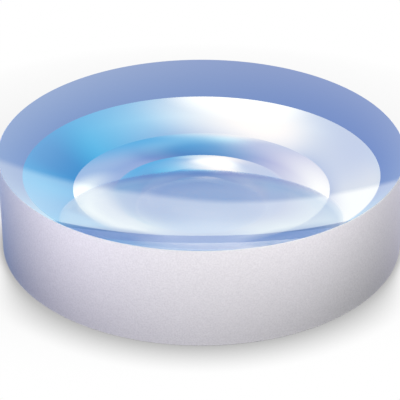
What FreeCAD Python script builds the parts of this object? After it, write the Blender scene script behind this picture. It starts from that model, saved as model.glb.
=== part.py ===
"""Biconcave lens, turned about its optical axis, which is Z.

One disc of optical glass. Both faces are polished spheres that dip towards the middle, so the
glass is thinnest on the axis and thickest at the rim. The outside is a fine-ground cylinder, and
a narrow bevel takes the sharp corner off each rim. The origin is on the axis, halfway between
the lowest points of the two hollows. Lengths are in millimetres.
"""

import FreeCAD
import Part
import math
import os

# Driving dimensions
DIAMETER = 25.4
UPPER_FACE_RADIUS = 38.1
LOWER_FACE_RADIUS = 38.1
CENTRE_THICKNESS = 2.1
BEVEL_LEG = 0.05

# The bevels are cut at 45 degrees, so one leg serves along the edge and across the face.
EDGE_RADIUS = DIAMETER / 2
RIM_RADIUS = EDGE_RADIUS - BEVEL_LEG
HALF_CENTRE = CENTRE_THICKNESS / 2

AXIS = FreeCAD.Vector(0, 0, 1)
ORIGIN = FreeCAD.Vector(0, 0, 0)
FULL_TURN = 360
UP = 1
DOWN = -1


def hollow_depth(face_radius, at_radius):
    """How far a spherical face has risen from its lowest point at a distance from the axis."""
    return face_radius - math.sqrt(face_radius**2 - at_radius**2)


def point(radius, height):
    """A point of the half section, by its distance from the axis and its height."""
    return FreeCAD.Vector(radius, 0, height)


def face_point(side, face_radius, radius):
    """The point of one polished face at a distance from the axis."""
    return point(radius, side * (HALF_CENTRE + hollow_depth(face_radius, radius)))


def face_arc(side, face_radius):
    """The arc of one polished face, from the axis out to its rim."""
    vertex = face_point(side, face_radius, 0)
    midway = face_point(side, face_radius, RIM_RADIUS / 2)
    rim = face_point(side, face_radius, RIM_RADIUS)
    return Part.Arc(vertex, midway, rim).toShape()


def bevel_foot(side, face_radius):
    """Where the bevel runs out into the ground edge, one leg past the rim both ways."""
    rim = face_point(side, face_radius, RIM_RADIUS)
    return rim + point(BEVEL_LEG, -side * BEVEL_LEG)


def line(start, end):
    return Part.LineSegment(start, end).toShape()


def half_section():
    """The face that sweeps out the glass: axis, lower face, bevel, edge, bevel, upper face."""
    lower_vertex = face_point(DOWN, LOWER_FACE_RADIUS, 0)
    upper_vertex = face_point(UP, UPPER_FACE_RADIUS, 0)
    lower_rim = face_point(DOWN, LOWER_FACE_RADIUS, RIM_RADIUS)
    upper_rim = face_point(UP, UPPER_FACE_RADIUS, RIM_RADIUS)
    lower_foot = bevel_foot(DOWN, LOWER_FACE_RADIUS)
    upper_foot = bevel_foot(UP, UPPER_FACE_RADIUS)
    outline = Part.Wire(
        [
            face_arc(DOWN, LOWER_FACE_RADIUS),
            line(lower_rim, lower_foot),
            line(lower_foot, upper_foot),
            line(upper_foot, upper_rim),
            face_arc(UP, UPPER_FACE_RADIUS),
            line(upper_vertex, lower_vertex),
        ]
    )
    return Part.Face(outline)


def make_lens():
    """The whole glass, ground and polished from one blank."""
    return half_section().revolve(ORIGIN, AXIS, FULL_TURN)


def main():
    lens = make_lens()
    os.makedirs("parts", exist_ok=True)
    lens.exportStep("parts/lens.step")
    box = lens.BoundBox
    edge_bottom = bevel_foot(DOWN, LOWER_FACE_RADIUS).z
    edge_top = bevel_foot(UP, UPPER_FACE_RADIUS).z
    print(f"valid {lens.isValid()}, closed {lens.isClosed()}, faces {len(lens.Faces)}")
    print(f"diameter {box.XLength:.3f}, thickness over the rims {box.ZLength:.3f}")
    print(f"ground edge from {edge_bottom:.3f} to {edge_top:.3f}")
    print(f"volume {lens.Volume:.1f} cubic millimetres")


main()
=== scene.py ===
# %% [markdown]
# # Dressing a biconcave lens
#
# The CAD part is one disc of optical glass: two polished hollows, a fine-ground cylinder round
# the outside and a narrow bevel at each rim. This lesson measures that part, rebuilds its skin
# as one very smooth surface, and gives each surface the finish that the workshop gave it. Then
# it builds the small studio that the glass shows us.
#
# Every length is in metres, and the origin is where the CAD part has it: on the axis, halfway
# between the two hollows.

# %% Load the CAD part
import math

import bpy
import numpy as np
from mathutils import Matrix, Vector


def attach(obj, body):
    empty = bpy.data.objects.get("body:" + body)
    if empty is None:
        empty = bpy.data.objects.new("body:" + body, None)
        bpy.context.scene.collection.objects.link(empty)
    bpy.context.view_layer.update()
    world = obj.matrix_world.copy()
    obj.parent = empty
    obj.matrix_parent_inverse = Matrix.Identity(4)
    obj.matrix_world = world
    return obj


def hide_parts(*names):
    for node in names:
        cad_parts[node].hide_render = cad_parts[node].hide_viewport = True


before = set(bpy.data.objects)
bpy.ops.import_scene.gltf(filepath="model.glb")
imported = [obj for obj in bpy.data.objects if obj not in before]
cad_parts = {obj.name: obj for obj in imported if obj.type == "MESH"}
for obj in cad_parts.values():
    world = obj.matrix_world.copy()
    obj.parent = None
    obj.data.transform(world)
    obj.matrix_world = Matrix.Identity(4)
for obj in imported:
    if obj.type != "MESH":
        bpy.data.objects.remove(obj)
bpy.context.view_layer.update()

IN_MM = 1000
cad_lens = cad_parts["lens"]

# %% [markdown]
# ## Measuring the part
#
# Nothing is typed in twice. The rim, the edge and the curve of the hollows are all read from the
# CAD mesh. A hollow is part of a sphere whose centre lies on the axis, so each of its points
# fits r^2 + z^2 = 2 c z + k, where c is the height of the centre. That is a straight line in z,
# and a least-squares fit finds it from all the points at once. The lower hollow is the mirror
# image of the upper one, so the upper one is enough.


# %% Measure the hollows and the edge
def mesh_points(obj):
    """The object's vertices as an array with one row for each point."""
    flat = np.empty(len(obj.data.vertices) * 3)
    obj.data.vertices.foreach_get("co", flat)
    return flat.reshape(-1, 3)


def sphere_on_axis(points):
    """Centre height c and radius sqrt(k + c^2) of the sphere, from r^2 + z^2 = 2 c z + k."""
    height = points[:, 2]
    squares = (points**2).sum(axis=1)
    terms = np.column_stack([2 * height, np.ones_like(height)])
    centre, rest = np.linalg.lstsq(terms, squares, rcond=None)[0]
    return centre, math.sqrt(rest + centre**2)


NEAR = 1e-6
points = mesh_points(cad_lens)
distance = np.hypot(points[:, 0], points[:, 1])
EDGE_RADIUS = distance.max()
RIM_HEIGHT = points[:, 2].max()
RIM_RADIUS = distance[points[:, 2] > RIM_HEIGHT - NEAR].max()
EDGE_HEIGHT = points[distance > EDGE_RADIUS - NEAR, 2].max()
on_upper_face = (points[:, 2] > 0) & (distance < RIM_RADIUS + NEAR)
CENTRE_HEIGHT, FACE_RADIUS = sphere_on_axis(points[on_upper_face])
print(f"edge radius {EDGE_RADIUS * IN_MM:.3f} mm, rim radius {RIM_RADIUS * IN_MM:.3f} mm")
print(f"face radius {FACE_RADIUS * IN_MM:.3f} mm, centred {CENTRE_HEIGHT * IN_MM:.3f} mm up")

# %% [markdown]
# ## The skin of the lens
#
# A lens is a turned form, so its skin is one profile carried round the axis. The profile runs
# from the middle of the upper hollow out to the rim, down the ground edge, and back in to the
# middle of the lower hollow. Light is bent by the slightest facet, so there are many more rings
# than the outline needs, and they crowd towards the rim, where the slope is steepest.

# %% The profile
SEGMENTS = 288
FACE_RINGS = 56
EDGE_RINGS = 10
CROWDING = 0.9


def hollow(radius):
    """Height of the upper face: the sphere's centre, less sqrt(R^2 - r^2)."""
    return CENTRE_HEIGHT - np.sqrt(FACE_RADIUS**2 - radius**2)


def lens_profile():
    """Distances and heights of the rings between the two middles, top to bottom."""
    share = np.arange(1, FACE_RINGS + 1) / FACE_RINGS
    face = RIM_RADIUS * np.sin(share * math.pi / 2) ** CROWDING
    edge = np.linspace(EDGE_HEIGHT, -EDGE_HEIGHT, EDGE_RINGS)
    radius = np.concatenate([face, np.full(EDGE_RINGS, EDGE_RADIUS), face[::-1]])
    height = np.concatenate([hollow(face), edge, -hollow(face)[::-1]])
    return radius, height


ring_radius, ring_height = lens_profile()
print(f"{len(ring_radius)} rings, {SEGMENTS} segments")

# %% [markdown]
# ## Turning it
#
# Blender's Spin or Screw tool could carry the profile round, but a grid worked out with numpy
# does it in one step and leaves no seam: the last column of faces joins the first. The two
# middles are single points with a fan of triangles round each, so the skin is closed.


# %% Carry the profile round the axis
def turned_grid(radius, height, segments):
    """Points (r cos a, r sin a, z) for each ring and angle, then the two middles on the axis."""
    angle = np.arange(segments) * 2 * math.pi / segments
    ring = np.stack(
        [
            np.outer(radius, np.cos(angle)),
            np.outer(radius, np.sin(angle)),
            np.repeat(height[:, None], segments, axis=1),
        ],
        axis=2,
    )
    middles = [[0, 0, hollow(0.0)], [0, 0, -hollow(0.0)]]
    return np.concatenate([ring.reshape(-1, 3), middles])


def turned_faces(rings, segments):
    """Quads between neighbouring rings, and a fan of triangles round each middle."""
    column = np.arange(segments)
    after = (column + 1) % segments
    start = (np.arange(rings - 1) * segments)[:, None]
    quads = np.stack(
        [start + column, start + segments + column, start + segments + after, start + after],
        axis=2,
    ).reshape(-1, 4)
    top, bottom, last = rings * segments, rings * segments + 1, (rings - 1) * segments
    upper_fan = np.column_stack([np.full(segments, top), column, after])
    lower_fan = np.column_stack([np.full(segments, bottom), last + after, last + column])
    return quads, upper_fan, lower_fan


skin_points = turned_grid(ring_radius, ring_height, SEGMENTS)
skin_quads, upper_fan, lower_fan = turned_faces(len(ring_radius), SEGMENTS)
print(f"{len(skin_points)} points, {len(skin_quads)} quads, {2 * SEGMENTS} triangles")

# %% [markdown]
# ## Smooth, but for the rims
#
# Smooth shading makes the light run evenly over the faces, as it does on polished glass. At the
# rims it has to stop: a bevel meets its face and the cylinder in a crisp line, so those four
# rings of edges are marked sharp. The faces of the cylinder and the bevels get the second
# material, because the workshop ground them and left them matt.

# %% Mark the ground faces and the sharp rims
UPPER_RIM = FACE_RINGS - 1
EDGE_TOP = UPPER_RIM + 1
EDGE_FOOT = EDGE_TOP + EDGE_RINGS - 1
LOWER_RIM = EDGE_FOOT + 1


def mark_ground(mesh):
    """The second material for the quads from the upper rim to the lower one, and their number."""
    upper_ring = skin_quads[:, 0] // SEGMENTS
    is_ground = np.zeros(len(mesh.polygons), np.int32)
    is_ground[: len(skin_quads)] = (upper_ring >= UPPER_RIM) & (upper_ring < LOWER_RIM)
    mesh.polygons.foreach_set("material_index", is_ground)
    return is_ground.sum()


def mark_rims(mesh):
    """Sharp edges where both ends lie on the same one of the four rims, and their number."""
    ends = np.empty(len(mesh.edges) * 2, np.int32)
    mesh.edges.foreach_get("vertices", ends)
    ring = ends.reshape(-1, 2) // SEGMENTS
    on_rim = np.isin(ring[:, 0], [UPPER_RIM, EDGE_TOP, EDGE_FOOT, LOWER_RIM])
    sharp = (ring[:, 0] == ring[:, 1]) & on_rim
    mesh.attributes.new("sharp_edge", "BOOLEAN", "EDGE").data.foreach_set("value", sharp)
    return sharp.sum()


# %% [markdown]
# ## Putting the skin together
#
# A mesh can be made from a list of points and a list of faces, and the arrays above are just
# that. The object stays at the origin, unturned and at its own size, so its coordinates are
# those of the CAD part.


# %% Build the skin
def build_lens():
    """The closed skin of the lens, smooth but for its sharp rims."""
    faces = skin_quads.tolist() + upper_fan.tolist() + lower_fan.tolist()
    mesh = bpy.data.meshes.new("lens_glass")
    mesh.from_pydata(skin_points, [], faces)
    mesh.polygons.foreach_set("use_smooth", np.ones(len(mesh.polygons), bool))
    print(mark_ground(mesh), "ground faces and", mark_rims(mesh), "sharp edges")
    mesh.validate()
    mesh.update()
    return bpy.data.objects.new("lens_glass", mesh)


lens = build_lens()
bpy.context.collection.objects.link(lens)
print(f"{len(lens.data.polygons)} faces")

# %% [markdown]
# ## Nodes, the short way
#
# A Blender material is a tree of nodes: each one works something out, and its result is linked
# to the next. Three helpers keep the rest of this lesson short. They make an empty material,
# fill one input with a value or a link, and add a node with its settings and inputs.


# %% Node helpers
def new_material(name):
    """An empty material with its node tree, ready for nodes."""
    material = bpy.data.materials.new(name)
    material.use_nodes = True
    material.node_tree.nodes.clear()
    return material, material.node_tree


def fill(tree, socket, value):
    """Links an output to the socket, or sets the socket's own value."""
    if isinstance(value, bpy.types.NodeSocket):
        tree.links.new(value, socket)
    else:
        socket.default_value = value


def node(tree, kind, inputs=None, **settings):
    """Adds a node, sets its settings, and fills its inputs by name or number."""
    made = tree.nodes.new(kind)
    for key, value in settings.items():
        setattr(made, key, value)
    for key, value in (inputs or {}).items():
        fill(tree, made.inputs[key], value)
    return made


# %% [markdown]
# ## Sums, mixes and fades
#
# Three kinds of node are used again and again: arithmetic on numbers, the mix of two colours,
# and the fade that turns a range of values into a share from 0 to 1. Colours are written as red,
# green and blue. A socket also asks for a fourth number, the alpha, which is always 1 here.


# %% Helpers for sums, mixes and fades
def arithmetic(tree, operation, *values):
    """The result of a Math node."""
    return node(tree, "ShaderNodeMath", dict(enumerate(values)), operation=operation).outputs[0]


def mix_colour(tree, share, first, second):
    """The first colour where share is 0, the second where it is 1."""
    made = node(tree, "ShaderNodeMix", {"Factor": share}, data_type="RGBA")
    colours = [socket for socket in made.inputs if socket.type == "RGBA"]
    for socket, colour in zip(colours, (first, second)):
        fill(tree, socket, (*colour, 1) if isinstance(colour, tuple) else colour)
    return next(socket for socket in made.outputs if socket.type == "RGBA")


def fade(tree, value, start, end, smooth=True):
    """0 where value is start and 1 where it is end: a straight ramp, or one with soft ends."""
    curve = "SMOOTHSTEP" if smooth else "LINEAR"
    limits = {"Value": value, "From Min": start, "From Max": end}
    return node(tree, "ShaderNodeMapRange", limits, interpolation_type=curve).outputs[0]


# %% [markdown]
# ## Grain
#
# Grinding powder leaves pits less than a tenth of a millimetre wide. Polished glass has none,
# and gets only a slow drift of its faint tint. Both are the same noise in the piece's own
# coordinates, so one node group serves both finishes. A group is built once and then used in
# each material with its own scale, which is the number of specks in a metre.

# %% The grain group
NOISE_DETAIL = 2.0


def build_grain():
    """Group: an even noise between 0 and 1, fixed to the surface."""
    group = bpy.data.node_groups.new("fine_grain", "ShaderNodeTree")
    group.interface.new_socket("Scale", in_out="INPUT", socket_type="NodeSocketFloat")
    group.interface.new_socket("Grain", in_out="OUTPUT", socket_type="NodeSocketFloat")
    scale = group.nodes.new("NodeGroupInput").outputs["Scale"]
    place = group.nodes.new("ShaderNodeTexCoord").outputs["Object"]
    inputs = {"Vector": place, "Scale": scale, "Detail": NOISE_DETAIL}
    noise = node(group, "ShaderNodeTexNoise", inputs)
    node(group, "NodeGroupOutput", {"Grain": noise.outputs["Fac"]})
    return group


fine_grain = build_grain()
print("grain group with", len(fine_grain.nodes), "nodes")

# %% [markdown]
# ## Polished glass
#
# The hollows are polished until they are clear. The rings seen in them are the rims, bent and
# mirrored inside the glass, and how far apart they lie depends on the index. At 1.5, which is
# plain crown glass, the upper face shows a much wider middle than the photograph. Very dense
# glass of 2.25 puts the rings where they are seen, so that is the index used. The colour is all
# but white, with the faintest blue, as a strong one would tint every path through the glass.

# %% The polished faces
GLASS_INDEX = 2.25
GLASS_TINT = (0.975, 0.985, 1.0)
GLASS_CLEAR = (0.99, 0.995, 1.0)
DRIFT_SCALE = 60.0


def polished_glass():
    """Clear glass whose tint drifts a little from place to place."""
    material, tree = new_material("polished_glass")
    drift = node(tree, "ShaderNodeGroup", {"Scale": DRIFT_SCALE}, node_tree=fine_grain)
    tint = mix_colour(tree, drift.outputs["Grain"], GLASS_TINT, GLASS_CLEAR)
    shader = node(
        tree,
        "ShaderNodeBsdfPrincipled",
        {"Base Color": tint, "Roughness": 0.0, "IOR": GLASS_INDEX, "Transmission Weight": 1.0},
    )
    node(tree, "ShaderNodeOutputMaterial", {"Surface": shader.outputs[0]})
    return material


polished = polished_glass()
print("polished glass with an index of", GLASS_INDEX)

# %% [markdown]
# ## The ground edge
#
# The cylinder and the bevels were ground with fine powder and never polished. From outside they
# are an even, slightly sparkling white, so this is a rough pale surface with the grain in its
# colour and in a small bump. From inside, the real edge scatters what reaches it. Here the back
# of the edge simply lets those rays out into the studio, which gives the same soft light in the
# glass without the noise.

# %% The ground surfaces
PIT_SHADE = (0.73, 0.71, 0.745)
PIT_LIGHT = (0.99, 0.97, 1.0)
PIT_SCALE = 10500.0
PIT_DEPTH = 0.00004
PIT_STRENGTH = 0.35
GROUND_ROUGHNESS = 0.7
GROUND_INDEX = 1.5


def ground_glass():
    """Matt white from outside, with pits in colour and bump, and open from inside."""
    material, tree = new_material("ground_edge")
    grain = node(tree, "ShaderNodeGroup", {"Scale": PIT_SCALE}, node_tree=fine_grain)
    pits = grain.outputs["Grain"]
    relief = {"Height": pits, "Strength": PIT_STRENGTH, "Distance": PIT_DEPTH}
    outside = node(
        tree,
        "ShaderNodeBsdfPrincipled",
        {
            "Base Color": mix_colour(tree, pits, PIT_SHADE, PIT_LIGHT),
            "Roughness": GROUND_ROUGHNESS,
            "IOR": GROUND_INDEX,
            "Normal": node(tree, "ShaderNodeBump", relief).outputs[0],
        },
    )
    inside = node(tree, "ShaderNodeBsdfTransparent")
    backface = node(tree, "ShaderNodeNewGeometry").outputs["Backfacing"]
    sides = {0: backface, 1: outside.outputs[0], 2: inside.outputs[0]}
    choose = node(tree, "ShaderNodeMixShader", sides)
    node(tree, "ShaderNodeOutputMaterial", {"Surface": choose.outputs[0]})
    return material


ground = ground_glass()
print(f"ground glass with pits {IN_MM / PIT_SCALE:.2f} mm apart")

# %% [markdown]
# ## Handing the skin to the frame
#
# The skin takes the place of the plain CAD solid, which is hidden. It rides on the part's only
# body and carries the two finishes made above.

# %% Dress the part
lens.data.materials.append(polished)
lens.data.materials.append(ground)
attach(lens, "root")
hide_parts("lens")
print("materials on the lens:", [material.name for material in lens.data.materials])

# %% [markdown]
# ## What the glass looks at
#
# Clear glass has no look of its own: all that is seen in it is the room, bent by the hollows and
# mirrored between them. In a studio, that room is made with cards. White ones give the bright
# fields, and blue and dark ones give the depth between them. Modelled cards would also light the
# edge and cast shadows, so these are painted on the world instead, on a chart of directions:
# azimuth across, with the left negative, and elevation up. A direction (x, y, z) has its azimuth
# on the chart from x and sqrt(y^2 + fold^2), so the room behind the camera is the mirror image of
# the room before it, and the small fold keeps the two halves from meeting in a crease.

# %% The chart of directions
FOLD = 0.12


def look_direction(tree):
    """The parts x, y and z of the direction that a ray looks in, and their squares."""
    way = tree.nodes.new("ShaderNodeTexCoord").outputs["Generated"]
    split = node(tree, "ShaderNodeSeparateXYZ", {0: way})
    parts = [split.outputs[axis] for axis in "XYZ"]
    return parts, [arithmetic(tree, "MULTIPLY", part, part) for part in parts]


def chart_angles(tree, parts, squares):
    """Azimuth, the arc tangent of x over sqrt(y^2 + fold^2), and elevation, the arc sine of z."""
    depth = arithmetic(tree, "SQRT", arithmetic(tree, "ADD", squares[1], FOLD**2))
    azimuth = arithmetic(tree, "DEGREES", arithmetic(tree, "ARCTAN2", parts[0], depth))
    elevation = arithmetic(tree, "DEGREES", arithmetic(tree, "ARCSINE", parts[2]))
    return azimuth, elevation


# %% [markdown]
# ## The sky under the cards
#
# Under the cards lies a plain sky: a colour ramp from the floor of the room to its ceiling. A
# ramp runs from 0 to 1, so each elevation is first turned into its share of the way up.

# %% Paint the sky
MIDWAY = 0.5


def colour_ramp(tree, value, stops):
    """A ramp through the colours of the stops, each at its own value."""
    first, last = min(stops), max(stops)
    ramp = node(tree, "ShaderNodeValToRGB", {0: fade(tree, value, first, last, smooth=False)})
    points = ramp.color_ramp.elements
    while len(points) < len(stops):
        points.new(MIDWAY)
    for point, (at, colour) in zip(points, stops.items()):
        point.position = (at - first) / (last - first)
        point.color = (*colour, 1)
    return ramp.outputs[0]


# %% [markdown]
# ## Laying the cards
#
# Each card is a soft ellipse on the chart. A Mapping node of the Texture kind moves the
# ellipse's middle to zero, turns it level and divides by its half sizes, so that its rim is
# where the length of the result is 1. The card's colour fades in across that rim. Later cards
# lie on earlier ones, as they would on a wall.
#
# Each card stands for something seen in the photograph. A ray traced back from one place of the
# picture, through the glass and out again, tells where a card has to hang, and its colour is
# what that place shows. The cards were fitted to many such rays by least squares. The result was
# rounded and named, and a few cards were then changed.

# %% Lay a card on the chart
NADIR_FADE = (-66, -82)


def lay_card(tree, place, under, at, half, rim, tilt, colour):
    """The colours under a card, with the card's own inside its soft tilted ellipse."""
    local = node(
        tree,
        "ShaderNodeMapping",
        {
            "Vector": place,
            "Location": (*at, 0),
            "Rotation": (0, 0, math.radians(tilt)),
            "Scale": (*half, 1),
        },
        vector_type="TEXTURE",
    )
    inputs = {0: local.outputs[0]}
    reach = node(tree, "ShaderNodeVectorMath", inputs, operation="LENGTH").outputs["Value"]
    return mix_colour(tree, fade(tree, reach, 1 + rim, 1 - rim), under, colour)


def painted_room(tree, azimuth, elevation, sky, cards):
    """The sky with every card on it, which fades to the sky's lowest colour straight down."""
    place = node(tree, "ShaderNodeCombineXYZ", {0: azimuth, 1: elevation}).outputs[0]
    room = colour_ramp(tree, elevation, sky)
    for card in cards.values():
        room = lay_card(tree, place, room, **card)
    return mix_colour(tree, fade(tree, elevation, *NADIR_FADE), room, sky[min(sky)])


# %% [markdown]
# ## Seen through the edge
#
# Much of what the glass shows comes in by the ground edge, in rings that lie one inside the
# other. The dark blue band within the rim looks steeply down, at the two cards under the lens.
# The broad ring within it looks up, at the high cards: azure on the left, white at the back and
# on the right. The next ring looks level and down, and the bright crescent inside it looks up
# once more.
#
# A card's middle and half sizes are in degrees, as are its tilt and the elevations of the sky.
# The softness of its rim is a share of its size.

# %% The room round the edge
EDGE_SKY = {
    -90: (0.55, 1.0, 1.2),
    -60: (0.95, 1.0, 1.05),
    -30: (0.1, 0.1, 0.6),
    0: (0.65, 0.65, 0.9),
    30: (0.7, 0.9, 1.1),
    60: (0.0, 0.05, 0.5),
}
EDGE_CARDS = {
    "high_left_azure": dict(at=(-50, 28), half=(30, 40), rim=0.8, tilt=30, colour=(0.05, 0.55, 0.95)),
    "high_left_deep": dict(at=(-52, 38), half=(10, 40), rim=0.8, tilt=15, colour=(0.05, 0.3, 0.7)),
    "left_pale": dict(at=(-62, -10), half=(35, 45), rim=1.0, tilt=60, colour=(0.45, 0.6, 0.9)),
    "level_white": dict(at=(-2, -12), half=(15, 20), rim=0.6, tilt=-45, colour=(1.15, 1.45, 1.4)),
    "high_middle_white": dict(at=(17, 33), half=(20, 13), rim=1.0, tilt=30, colour=(1.3, 1.2, 1.15)),
    "level_middle_white": dict(at=(11, 2), half=(20, 10), rim=0.6, tilt=10, colour=(1.3, 1.2, 1.15)),
    "crescent_white": dict(at=(10, 18), half=(15, 11), rim=0.4, tilt=15, colour=(1.3, 1.3, 1.3)),
    "low_middle_blue": dict(at=(0, -30), half=(25, 15), rim=0.6, tilt=-15, colour=(0.1, 0.2, 0.55)),
    "level_left_azure": dict(at=(-28, -2), half=(45, 15), rim=1.0, tilt=-30, colour=(0.15, 0.5, 0.9)),
    "low_right_white": dict(at=(92, -22), half=(50, 20), rim=1.0, tilt=0, colour=(1.4, 1.35, 1.25)),
    "low_left_white": dict(at=(-82, -18), half=(8, 20), rim=1.0, tilt=60, colour=(1.2, 1.25, 1.2)),
    "under_navy": dict(at=(20, -68), half=(30, 15), rim=0.8, tilt=-15, colour=(0.15, 0.2, 0.6)),
    "high_right_white": dict(at=(68, 42), half=(30, 10), rim=0.6, tilt=15, colour=(0.95, 0.95, 1.0)),
    "under_deep": dict(at=(-8, -68), half=(40, 15), rim=0.6, tilt=0, colour=(0.2, 0.3, 0.65)),
    "right_grey": dict(at=(42, 20), half=(35, 12), rim=0.8, tilt=60, colour=(0.7, 0.75, 0.95)),
}
print("round the edge:", ", ".join(EDGE_CARDS))

# %% [markdown]
# ## Seen through the lower face
#
# The rest goes straight through the glass, or is mirrored in it and then leaves by a polished
# face. It mostly looks down past the lens: pale blue under the middle, with a bright sheet of
# white at the lower left, and darker cards far out at both sides, where the two lobes look.

# %% The room under the lens
FACE_SKY = {
    -90: (0.5, 0.6, 0.85),
    -60: (0.9, 1.0, 1.0),
    -30: (0.35, 0.5, 0.75),
    0: (1.1, 1.2, 1.2),
    30: (0.35, 0.6, 0.95),
    60: (0.0, 0.4, 0.85),
}
FACE_CARDS = {
    "left_navy": dict(at=(-82, -42), half=(15, 45), rim=0.6, tilt=30, colour=(0.0, 0.05, 0.45)),
    "under_navy": dict(at=(-2, -52), half=(35, 20), rim=0.6, tilt=0, colour=(0.0, 0.1, 0.55)),
    "level_deep": dict(at=(0, -12), half=(60, 15), rim=0.6, tilt=0, colour=(0.2, 0.25, 0.6)),
    "left_pale": dict(at=(-75, -32), half=(8, 35), rim=0.6, tilt=15, colour=(0.45, 0.65, 0.9)),
    "low_left_white": dict(at=(-55, -52), half=(10, 40), rim=0.6, tilt=-15, colour=(0.9, 0.95, 1.0)),
    "right_navy": dict(at=(78, -52), half=(6, 50), rim=0.8, tilt=-30, colour=(0.2, 0.35, 0.65)),
    "under_pale": dict(at=(10, -52), half=(50, 20), rim=0.6, tilt=0, colour=(0.45, 0.5, 0.75)),
    "under_left_deep": dict(at=(-52, -82), half=(55, 6), rim=0.6, tilt=-45, colour=(0.25, 0.35, 0.65)),
    "bottom_pale": dict(at=(2, -82), half=(30, 15), rim=1.0, tilt=0, colour=(0.65, 0.7, 0.9)),
}
print("under the lens:", ", ".join(FACE_CARDS))

# %% [markdown]
# ## The glint on the upper face
#
# About a fifth of the light never enters the glass: the upper hollow mirrors the wall behind
# the lens. In the photograph that is a bright field across the front of the hollow, whose upper
# edge is level on one side and falls away on the other. The wall is therefore bright below a
# line and dark above it, and the line bends down to the left of one azimuth. At its foot the
# wall meets a dark floor, and the edge of that is the crisp line over the blue band at the
# front. This picture is kept apart from the cards, because it is meant for one bounce only. All
# its places are in degrees.

# %% The mirrored wall
GLINT_TOP = 21.0
GLINT_BEND = 2.5
GLINT_LEAN = 0.65
GLINT_SOFTNESS = 1.5
GLINT_LEFT = (1.3, 1.4, 1.3)
GLINT_RIGHT = (0.7, 0.8, 0.7)
GLINT_TURN = (-20, 20)
DARK_LOW = (0.0, 0.2, 0.4)
DARK_HIGH = (0.05, 0.2, 0.1)
DARK_RISE = (20, 60)
WALL_FOOT = (1.8, 2.4)
FLOOR_MIRRORED = (0.0, 0.05, 0.2)


def wall_mirrored(tree, azimuth, elevation):
    """Bright from its foot to a line, which falls by the lean for each degree left of the bend."""
    past = arithmetic(tree, "MINIMUM", arithmetic(tree, "SUBTRACT", azimuth, GLINT_BEND), 0.0)
    above = arithmetic(tree, "SUBTRACT", elevation, arithmetic(tree, "MULTIPLY", past, GLINT_LEAN))
    across = fade(tree, azimuth, *GLINT_TURN, smooth=False)
    up = fade(tree, elevation, *DARK_RISE, smooth=False)
    bright = mix_colour(tree, across, GLINT_LEFT, GLINT_RIGHT)
    dark = mix_colour(tree, up, DARK_LOW, DARK_HIGH)
    line = fade(tree, above, GLINT_TOP - GLINT_SOFTNESS, GLINT_TOP + GLINT_SOFTNESS)
    wall = mix_colour(tree, line, bright, dark)
    return mix_colour(tree, fade(tree, elevation, *WALL_FOOT), FLOOR_MIRRORED, wall)


print("wall bright up to", GLINT_TOP, "degrees")

# %% [markdown]
# ## Soft light for the matt surfaces
#
# The ground edge is lit by the room as a whole, and needs no pattern. Six colours are enough,
# one from each side. The squares of x, y and z add up to 1, so they serve as shares: each side's
# colour counts for the square of the direction's part that points to it, and the light passes
# evenly from side to side. The six colours were fitted to the shading of the edge in the
# photograph, together with the lamps further down, and then rounded.

# %% Light from six sides
FROM_LEFT = (0.0, 0.0, 0.2)
FROM_RIGHT = (0.25, 0.25, 0.0)
FROM_FRONT = (0.0, 0.0, 0.35)
FROM_BACK = (0.4, 0.65, 0.6)
FROM_BELOW = (0.0, 0.0, 0.0)
FROM_ABOVE = (0.1, 0.25, 0.1)
SIDES = [(FROM_LEFT, FROM_RIGHT), (FROM_FRONT, FROM_BACK), (FROM_BELOW, FROM_ABOVE)]
print("soft light along", len(SIDES), "axes")


def soft_light(tree, parts, squares):
    """The sum over x, y and z of the colour of the side looked at, times the part's square."""
    total = None
    for part, square, (minus_side, plus_side) in zip(parts, squares, SIDES):
        positive = arithmetic(tree, "GREATER_THAN", part, 0.0)
        side = mix_colour(tree, positive, minus_side, plus_side)
        share = node(tree, "ShaderNodeVectorMath", {0: side, 3: square}, operation="SCALE").outputs[0]
        if total is not None:
            both = {0: total, 1: share}
            share = node(tree, "ShaderNodeVectorMath", both, operation="ADD").outputs[0]
        total = share
    return total


# %% [markdown]
# ## The world
#
# The Light Path node tells what kind of ray asks. Straight from the camera, the background is
# plain white. Its Transmission Depth counts the polished faces that a ray has passed. None means
# that it was mirrored off the outside and sees the wall. One means that it went in by a face and
# out by the ground edge, and two or more that it left by a face. The count is a whole number, so
# the thresholds lie halfway between. Every ray that never met the glass gathers the soft light.

# %% Put the world together
WHITE = (1.0, 1.0, 1.0)
NONE_OR_ONE = 0.5
ONE_OR_TWO = 1.5


def seen_by_glass(tree, azimuth, elevation, faces_passed):
    """The wall, the room round the edge or the room under the lens, by the faces passed."""
    entered = arithmetic(tree, "GREATER_THAN", faces_passed, NONE_OR_ONE)
    left_by_face = arithmetic(tree, "GREATER_THAN", faces_passed, ONE_OR_TWO)
    by_edge = painted_room(tree, azimuth, elevation, EDGE_SKY, EDGE_CARDS)
    by_face = painted_room(tree, azimuth, elevation, FACE_SKY, FACE_CARDS)
    through = mix_colour(tree, left_by_face, by_edge, by_face)
    return mix_colour(tree, entered, wall_mirrored(tree, azimuth, elevation), through)


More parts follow.
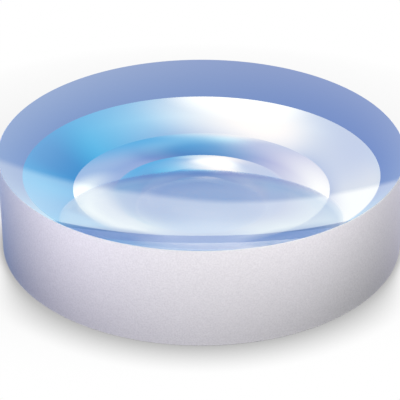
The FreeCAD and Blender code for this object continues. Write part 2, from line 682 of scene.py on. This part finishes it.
def build_world():
    """White to the camera, cards or wall to the glass, and soft light to matt surfaces."""
    world = bpy.data.worlds.new("studio")
    world.use_nodes = True
    tree = world.node_tree
    tree.nodes.clear()
    parts, squares = look_direction(tree)
    azimuth, elevation = chart_angles(tree, parts, squares)
    path = tree.nodes.new("ShaderNodeLightPath").outputs
    in_glass = seen_by_glass(tree, azimuth, elevation, path["Transmission Depth"])
    by_glass = arithmetic(tree, "MAXIMUM", path["Is Glossy Ray"], path["Is Transmission Ray"])
    light = mix_colour(tree, by_glass, soft_light(tree, parts, squares), in_glass)
    shown = mix_colour(tree, path["Is Camera Ray"], light, WHITE)
    background = node(tree, "ShaderNodeBackground", {"Color": shown})
    node(tree, "ShaderNodeOutputWorld", {"Surface": background.outputs[0]})
    bpy.context.scene.world = world
    return world


world = build_world()
print("world with", len(world.node_tree.nodes), "nodes")

# %% [markdown]
# ## The floor
#
# The lens lies on white paper. What shows that it lies there is the narrow shade where it
# touches, and a faint wide one behind it. Ambient occlusion measures both: how much of the open
# air over a point of the paper the lens takes up. For the contact it looks straight up with a
# short reach, which is longer in front of the lens than beside it. For the wide shade it looks
# up and forward with a long reach. The shade never goes under a least level, because some light
# reaches the paper through the glass.
#
# Reaches and distances are shares of the edge's radius. They were fitted to the shades in the
# photograph.

# %% The shades on the paper
CONTACT_FRONT = 0.22 * EDGE_RADIUS
CONTACT_SIDE = 0.045 * EDGE_RADIUS
FRONT_BEGINS = -0.3 * EDGE_RADIUS
FRONT_FULL = -0.84 * EDGE_RADIUS
WIDE_REACH = 1.33 * EDGE_RADIUS
WIDE_LEAN = (0.17, -0.81, 0.56)
WIDE_DARK = 0.53
SHADE_LEAST = 0.48
AO_SAMPLES = 16


def openness(tree, reach, lean=None):
    """How open the air over the paper is, from 0 to 1, within a reach and round a direction."""
    inputs = {"Distance": reach}
    if lean:
        inputs["Normal"] = node(tree, "ShaderNodeCombineXYZ", dict(enumerate(lean))).outputs[0]
    return node(tree, "ShaderNodeAmbientOcclusion", inputs, samples=AO_SAMPLES).outputs["AO"]


def paper_shade(tree, spot):
    """The contact shade, whose reach grows to the front, times the wide one, down to a least."""
    depth = node(tree, "ShaderNodeSeparateXYZ", {0: spot}).outputs["Y"]
    front = fade(tree, depth, FRONT_BEGINS, FRONT_FULL)
    span = CONTACT_FRONT - CONTACT_SIDE
    contact = openness(tree, arithmetic(tree, "MULTIPLY_ADD", front, span, CONTACT_SIDE))
    wide = openness(tree, WIDE_REACH, WIDE_LEAN)
    faint = arithmetic(tree, "MULTIPLY_ADD", wide, 1 - WIDE_DARK, WIDE_DARK)
    return arithmetic(tree, "MAXIMUM", arithmetic(tree, "MULTIPLY", contact, faint), SHADE_LEAST)


print(f"contact shade {CONTACT_FRONT * IN_MM:.1f} mm in front, {CONTACT_SIDE * IN_MM:.1f} mm beside")

# %% [markdown]
# ## The glow of the paper
#
# To the matt edge, the paper is a glow that grows with the distance from the lens, since the
# paper beside it is in its shade. Only at the very foot is there some light, which creeps in
# under the bevel. The camera sees the shades, and every other ray sees the glow.

# %% The paper
GLOW_START = 1.3 * EDGE_RADIUS
GLOW_FULL = 4 * EDGE_RADIUS
FOOT_REACH = 1.02 * EDGE_RADIUS
FOOT_GLOW = 0.22


def paper_glow(tree, spot):
    """0 near the lens and 1 far from it, with a little light at its very foot."""
    away = node(tree, "ShaderNodeVectorMath", {0: spot}, operation="LENGTH").outputs["Value"]
    foot = arithmetic(tree, "MULTIPLY", fade(tree, away, FOOT_REACH, EDGE_RADIUS), FOOT_GLOW)
    return arithmetic(tree, "ADD", fade(tree, away, GLOW_START, GLOW_FULL), foot)


def paper():
    """White with its shades to the camera, and a graded glow to every other ray."""
    material, tree = new_material("white_paper")
    spot = tree.nodes.new("ShaderNodeTexCoord").outputs["Object"]
    glow = paper_glow(tree, spot)
    seen = tree.nodes.new("ShaderNodeLightPath").outputs["Is Camera Ray"]
    more = arithmetic(tree, "SUBTRACT", paper_shade(tree, spot), glow)
    strength = arithmetic(tree, "MULTIPLY_ADD", more, seen, glow)
    light = node(tree, "ShaderNodeEmission", {"Color": (*WHITE, 1), "Strength": strength})
    node(tree, "ShaderNodeOutputMaterial", {"Surface": light.outputs[0]})
    material.cycles.emission_sampling = "NONE"
    return material


white_paper = paper()
print(f"the paper glows from {GLOW_START * IN_MM:.0f} mm to {GLOW_FULL * IN_MM:.0f} mm from the axis")

# %% [markdown]
# ## Laying the floor
#
# The sheet is one square, far wider than the picture shows. It lies a hundredth of a millimetre
# under the lower rim, so that the two never fight over the same place. Rays that are mirrored or
# bent by the glass don't see it, because what they see is painted on the world.

# %% Lay the floor
FLOOR_HALF = 0.6
FLOOR_GAP = 0.00001


def hide_from_glass(obj):
    """Keeps the object out of everything that is seen in the glass."""
    obj.visible_glossy = False
    obj.visible_transmission = False


def build_floor():
    """One large square, a small gap under the lower rim."""
    mesh = bpy.data.meshes.new("floor")
    near, far = -FLOOR_HALF, FLOOR_HALF
    corners = [(near, near, 0), (far, near, 0), (far, far, 0), (near, far, 0)]
    mesh.from_pydata(corners, [], [(0, 1, 2, 3)])
    mesh.materials.append(white_paper)
    floor = bpy.data.objects.new("floor", mesh)
    floor.location = (0, 0, -RIM_HEIGHT - FLOOR_GAP)
    hide_from_glass(floor)
    bpy.context.collection.objects.link(floor)
    return floor


floor = build_floor()
print(f"floor at {floor.location.z * IN_MM:.3f} mm")

# %% [markdown]
# ## The lamps
#
# Five round soft lamps stand about the lens: one before it, one at each shoulder and one at each
# side behind. They make the edge brightest in front, near its upper rim, and let it turn cooler
# and darker towards the sides. Azimuth is counted from the front, with the left negative, and
# distance and radius are in edge radii. The lamps were fitted to the shading of the edge in the
# photograph, then rounded, and in part changed.
#
# A disc of radiance L and area A gives a power of pi L A, which is how the wanted radiance
# becomes the number of watts that Blender asks for. The glass doesn't see the lamps.

# %% Set up the lamps
LAMPS = {
    "front_lamp": dict(azimuth=-4, elevation=15, distance=3.1, radius=0.97, radiance=(3.3, 3.2, 2.8)),
    "left_lamp": dict(azimuth=-39, elevation=17, distance=2.0, radius=0.3, radiance=(4.9, 4.6, 5.3)),
    "right_lamp": dict(azimuth=36, elevation=25, distance=2.15, radius=0.37, radiance=(5.4, 5.1, 5.5)),
    "left_back_lamp": dict(azimuth=-115, elevation=20, distance=2.6, radius=0.8, radiance=(2.4, 3.1, 5.2)),
    "right_back_lamp": dict(azimuth=115, elevation=10, distance=2.7, radius=0.8, radiance=(5.4, 4.9, 6.5)),
}


def soft_lamp(name, azimuth, elevation, distance, radius, radiance):
    """A disc aimed at the origin; its power is pi times its radiance times its area."""
    lamp = bpy.data.lights.new(name, "AREA")
    lamp.shape = "DISK"
    size = radius * EDGE_RADIUS
    lamp.size = 2 * size
    strength = max(radiance)
    lamp.energy = math.pi * strength * math.pi * size**2
    lamp.color = [part / strength for part in radiance]
    around, up = math.radians(azimuth), math.radians(elevation)
    level = math.cos(up)
    away = Vector((math.sin(around) * level, -math.cos(around) * level, math.sin(up)))
    stand = bpy.data.objects.new(name, lamp)
    stand.location = away * distance * EDGE_RADIUS
    stand.rotation_euler = (-away).to_track_quat("-Z", "Y").to_euler()
    stand.visible_camera = False
    hide_from_glass(stand)
    bpy.context.collection.objects.link(stand)
    return stand


for name, values in LAMPS.items():
    soft_lamp(name, **values)
print("lamps:", ", ".join(LAMPS))

# %% [markdown]
# ## The camera
#
# The photograph was taken from a little under 30 degrees above the table, from about eight and a
# half edge radii away. The two rims tell both: an ellipse's height over its width gives the
# angle, and the near half being larger than the far half gives the distance. A small shift
# frames the lens as in the photograph, without turning the camera. Blender takes the width of
# the sensor and the focal length in millimetres, and all other lengths in metres.

# %% Set up the camera
PHOTO_WIDTH = 400
SHIFT_PIXELS = -1.47
SENSOR_WIDTH = 36.0
FOCAL_LENGTH = 154.54
CAMERA_ELEVATION = math.radians(29.68)
CAMERA_REACH = 8.605 * EDGE_RADIUS
CAMERA_DROP = 0.000707
CLIP_START = 0.001
CLIP_END = 10.0


def build_camera():
    """Looks, from its elevation, at a point on the axis a little under the middle of the glass."""
    data = bpy.data.cameras.new("camera")
    data.sensor_width = SENSOR_WIDTH
    data.lens = FOCAL_LENGTH
    data.shift_x = SHIFT_PIXELS / PHOTO_WIDTH
    data.clip_start = CLIP_START
    data.clip_end = CLIP_END
    camera = bpy.data.objects.new("camera", data)
    back = CAMERA_REACH * math.cos(CAMERA_ELEVATION)
    up = CAMERA_REACH * math.sin(CAMERA_ELEVATION)
    camera.location = (0, -back, up - CAMERA_DROP)
    camera.rotation_euler = (math.pi / 2 - CAMERA_ELEVATION, 0, 0)
    bpy.context.collection.objects.link(camera)
    bpy.context.scene.camera = camera
    return camera


camera = build_camera()
bpy.context.scene.view_settings.view_transform = "Standard"
print("camera at", [round(part, 4) for part in camera.location])
